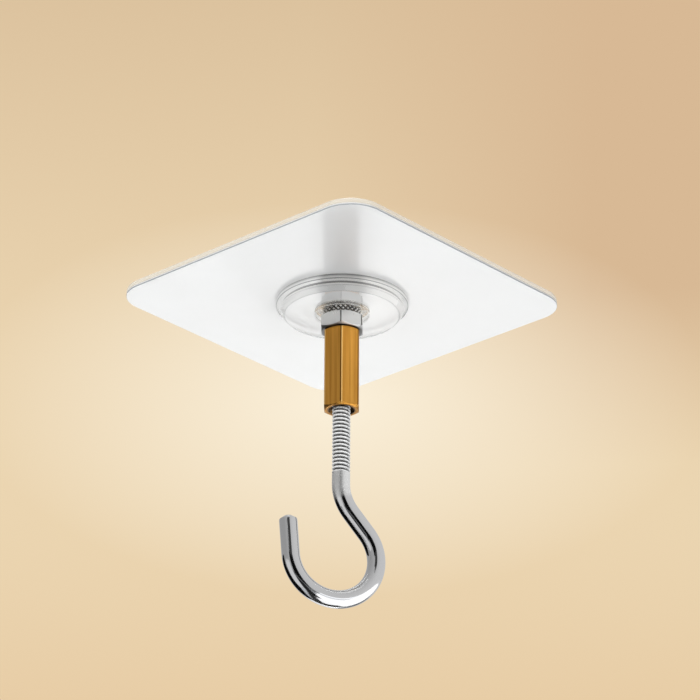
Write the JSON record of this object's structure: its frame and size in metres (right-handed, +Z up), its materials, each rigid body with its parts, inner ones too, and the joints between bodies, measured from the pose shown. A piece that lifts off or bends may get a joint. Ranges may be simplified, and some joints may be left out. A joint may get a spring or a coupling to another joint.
{
  "type": "ceiling hook",
  "caption": "Stick-on ceiling hook: a square pad, a clear round base with a moulded-in stud, a lock nut, a long brass coupling nut and a threaded steel hook.",
  "frame": {"origin": "centre of the pad's adhesive face, which lies against the ceiling", "axes": "+Z up into the ceiling along the hook's axis, X and Y along the pad's sides"},
  "size_m": [0.076, 0.076, 0.0786],
  "materials": {
    "clear_adhesive": "clear soft acrylic, slightly milky",
    "white_plate": "glossy white sheet",
    "clear_plastic": "clear moulded, polished",
    "plated_stud": "bright zinc plating on turned bar",
    "plated_nut": "bright zinc plating on a steel nut",
    "brass": "satin drawn hexagon bar",
    "plated_rod": "bright nickel plating on steel rod, rolled thread"
  },
  "bodies": {
    "base": {"adhesive_sheet": "clear_adhesive", "mounting_plate": "white_plate", "clear_base": "clear_plastic", "captive_stud": "plated_stud", "lock_nut": "plated_nut", "coupling_nut": "brass"},
    "hook": {"screw_hook": "plated_rod"}
  },
  "joints": [
    {"name": "hook_turn", "type": "hinge", "parent": "base", "child": "hook", "pos_m": [0, 0, -0.0295], "axis": [0, 0, 1], "range_deg": [-180, 180]}
  ]
}
